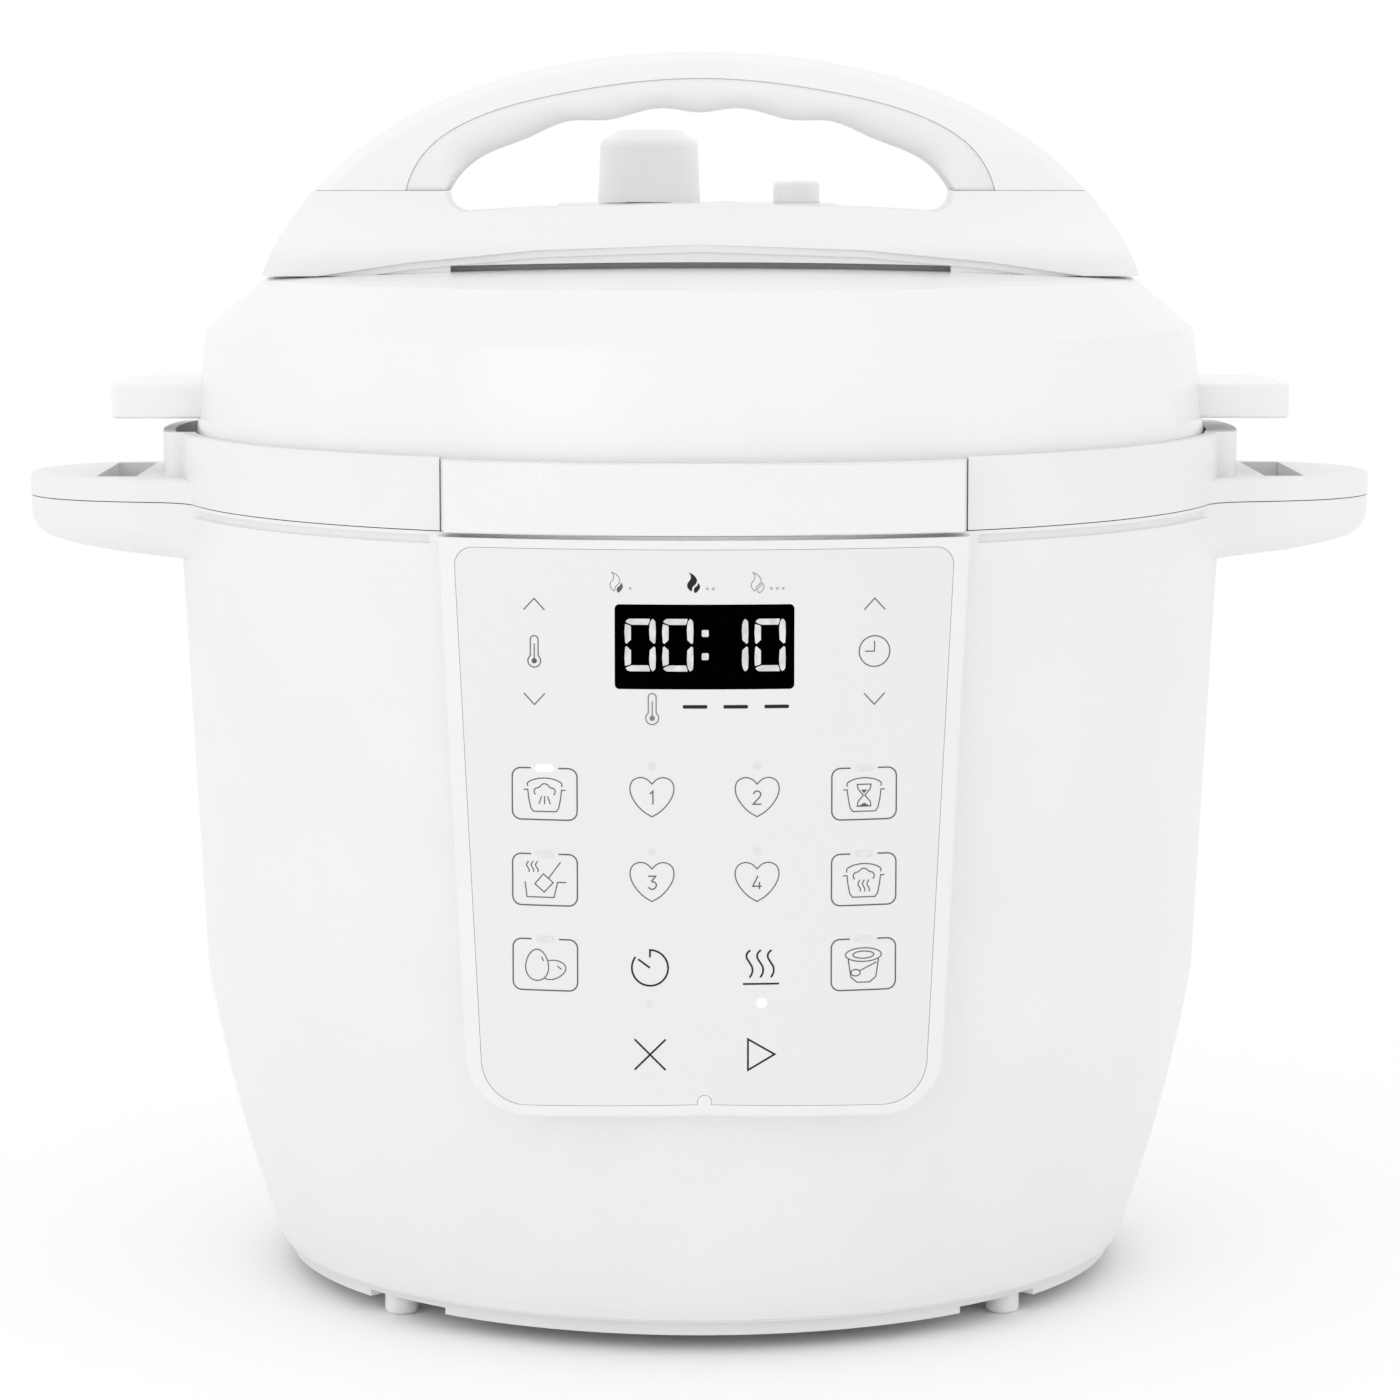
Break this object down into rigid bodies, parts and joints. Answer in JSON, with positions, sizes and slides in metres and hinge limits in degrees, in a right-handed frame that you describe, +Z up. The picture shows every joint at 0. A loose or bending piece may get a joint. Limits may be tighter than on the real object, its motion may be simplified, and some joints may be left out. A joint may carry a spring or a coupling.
{
  "type": "electric pressure cooker",
  "caption": "Round white countertop pressure cooker with a twist-lock lid under an arched carrying handle, side handles and a flat touch panel with a clock display.",
  "frame": {"origin": "pot axis at floor level, centre of the footprint", "axes": "+Z up, -Y towards the front panel, +X towards the right side handle"},
  "size_m": [0.377, 0.296, 0.3408],
  "materials": {
    "shell": "satin white moulding",
    "lid_white": "satin white moulding",
    "film": "printed touch film",
    "lens": "black display lens",
    "module": "moulded black",
    "board": "green circuit board",
    "parts": "moulded parts",
    "steel": "brushed",
    "alu": "cast",
    "rubber": "light grey silicone",
    "seal": "clear white silicone",
    "wire": "silicone sleeve",
    "black": "moulded black",
    "cup": "frosted clear",
    "valve": "slightly translucent grey-white",
    "brass": "plain",
    "zinc": "zinc plated"
  },
  "bodies": {
    "base": {"outer_housing": "shell", "top_collar": "shell", "name_plate": "shell", "control_fascia": "shell", "panel_overlay": "film", "display_window": "lens", "display_module": "module", "control_board": "board", "inner_liner": "alu", "locking_ring": "steel", "heating_plate": "alu", "heating_element": "steel", "heater_bracket": "zinc", "sensor_guide": "zinc", "thermal_fuse": "zinc", "pressure_switch": "black", "power_board": "board", "board_parts": "parts", "wiring_harness": "wire", "power_inlet": "black", "inlet_pins": "brass", "cup_pocket": "shell", "bottom_cover": "shell", "foot_front_left": "rubber", "foot_front_right": "rubber", "foot_rear_right": "rubber", "foot_rear_left": "rubber", "bottom_screws": "zinc", "sensor_spring": "steel"},
    "pot": {"inner_pot": "steel"},
    "seal": {"sealing_ring": "seal"},
    "lid": {"lid_cover": "lid_white", "lid_liner": "steel", "seal_rack": "steel", "lid_screws": "zinc", "handle_cover": "lid_white", "handle_grip": "lid_white", "handle_bridge": "lid_white", "handle_screws": "zinc", "valve_platform": "lid_white", "lever_pin": "zinc", "steam_pipe": "steel", "pipe_nut": "zinc", "anti_block_shield": "steel", "button_spring": "steel"},
    "rocker": {"vent_lever": "black"},
    "steam_knob": {"steam_valve": "valve"},
    "button": {"release_button": "valve"},
    "float": {"float_valve": "zinc", "float_cap": "seal"},
    "sensor": {"temp_sensor": "alu"},
    "cup": {"condensation_cup": "cup"}
  },
  "joints": [
    {"name": "pot_lift", "type": "slide", "parent": "base", "child": "pot", "axis": [0, 0, 1], "range_m": [0, 0.2]},
    {"name": "lid_lift", "type": "slide", "parent": "pot", "child": "seal", "axis": [0, 0, 1], "range_m": [0, 0.15]},
    {"name": "lid_twist", "type": "hinge", "parent": "seal", "child": "lid", "pos_m": [0, 0, 0.235], "axis": [0, 0, 1], "range_deg": [0, 30]},
    {"name": "release_press", "type": "slide", "parent": "lid", "child": "button", "axis": [0, 0, -1], "range_m": [0, 0.003], "stiffness_N_per_m": 900, "springref_m": -0.001, "deforming": ["button_spring"]},
    {"name": "rocker_tilt", "type": "hinge", "parent": "lid", "child": "rocker", "pos_m": [0.007, 0.045, 0.29], "axis": [0, 1, 0], "range_deg": [0, 8.2]},
    {"name": "steam_valve_lift", "type": "slide", "parent": "lid", "child": "steam_knob", "axis": [0, 0, 1], "range_m": [0, 0.003]},
    {"name": "float_rise", "type": "slide", "parent": "lid", "child": "float", "axis": [0, 0, 1], "range_m": [0, 0.005]},
    {"name": "sensor_press", "type": "slide", "parent": "base", "child": "sensor", "axis": [0, 0, 1], "range_m": [-0.003, 0], "stiffness_N_per_m": 400, "springref_m": 0.002, "deforming": ["sensor_spring"]},
    {"name": "cup_slide", "type": "slide", "parent": "base", "child": "cup", "axis": [0, 1, 0], "range_m": [0, 0.06]}
  ],
  "couplings": [
    {"joint": "rocker_tilt", "follows": "release_press", "rad_per_m": 47},
    {"joint": "steam_valve_lift", "follows": "release_press", "ratio": 1}
  ]
}
